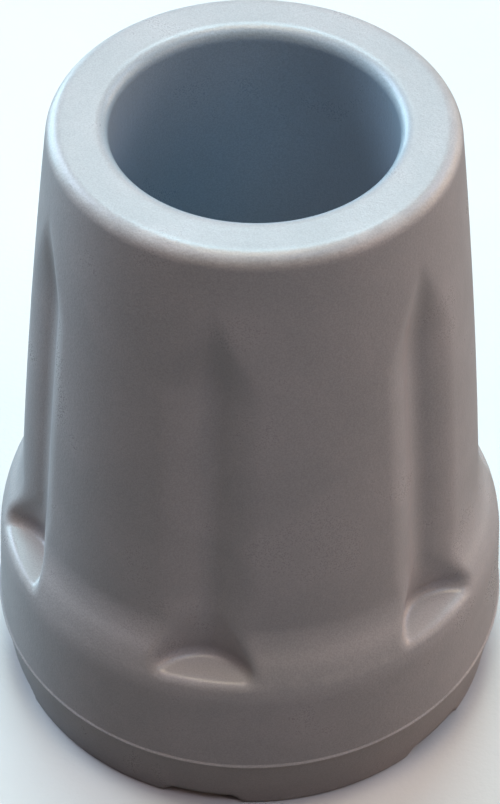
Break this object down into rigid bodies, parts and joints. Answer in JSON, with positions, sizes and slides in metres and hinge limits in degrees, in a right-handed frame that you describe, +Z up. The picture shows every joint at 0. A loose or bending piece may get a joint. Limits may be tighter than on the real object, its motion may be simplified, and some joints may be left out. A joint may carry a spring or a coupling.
{
  "type": "rubber cane tip",
  "caption": "Moulded rubber tip that pushes onto the end of a round cane, with a blind bore, a tapering fluted body and a wide collar over a flat sole with tread notches.",
  "frame": {"origin": "centre of the sole, at ground level", "axes": "+Z up along the bore's axis, out of its mouth; -Y through the middle of a flute"},
  "size_m": [0.0374, 0.0374, 0.0485],
  "materials": {
    "rubber": "satin"
  },
  "bodies": {
    "root": {"cane_tip": "rubber"}
  },
  "joints": []
}
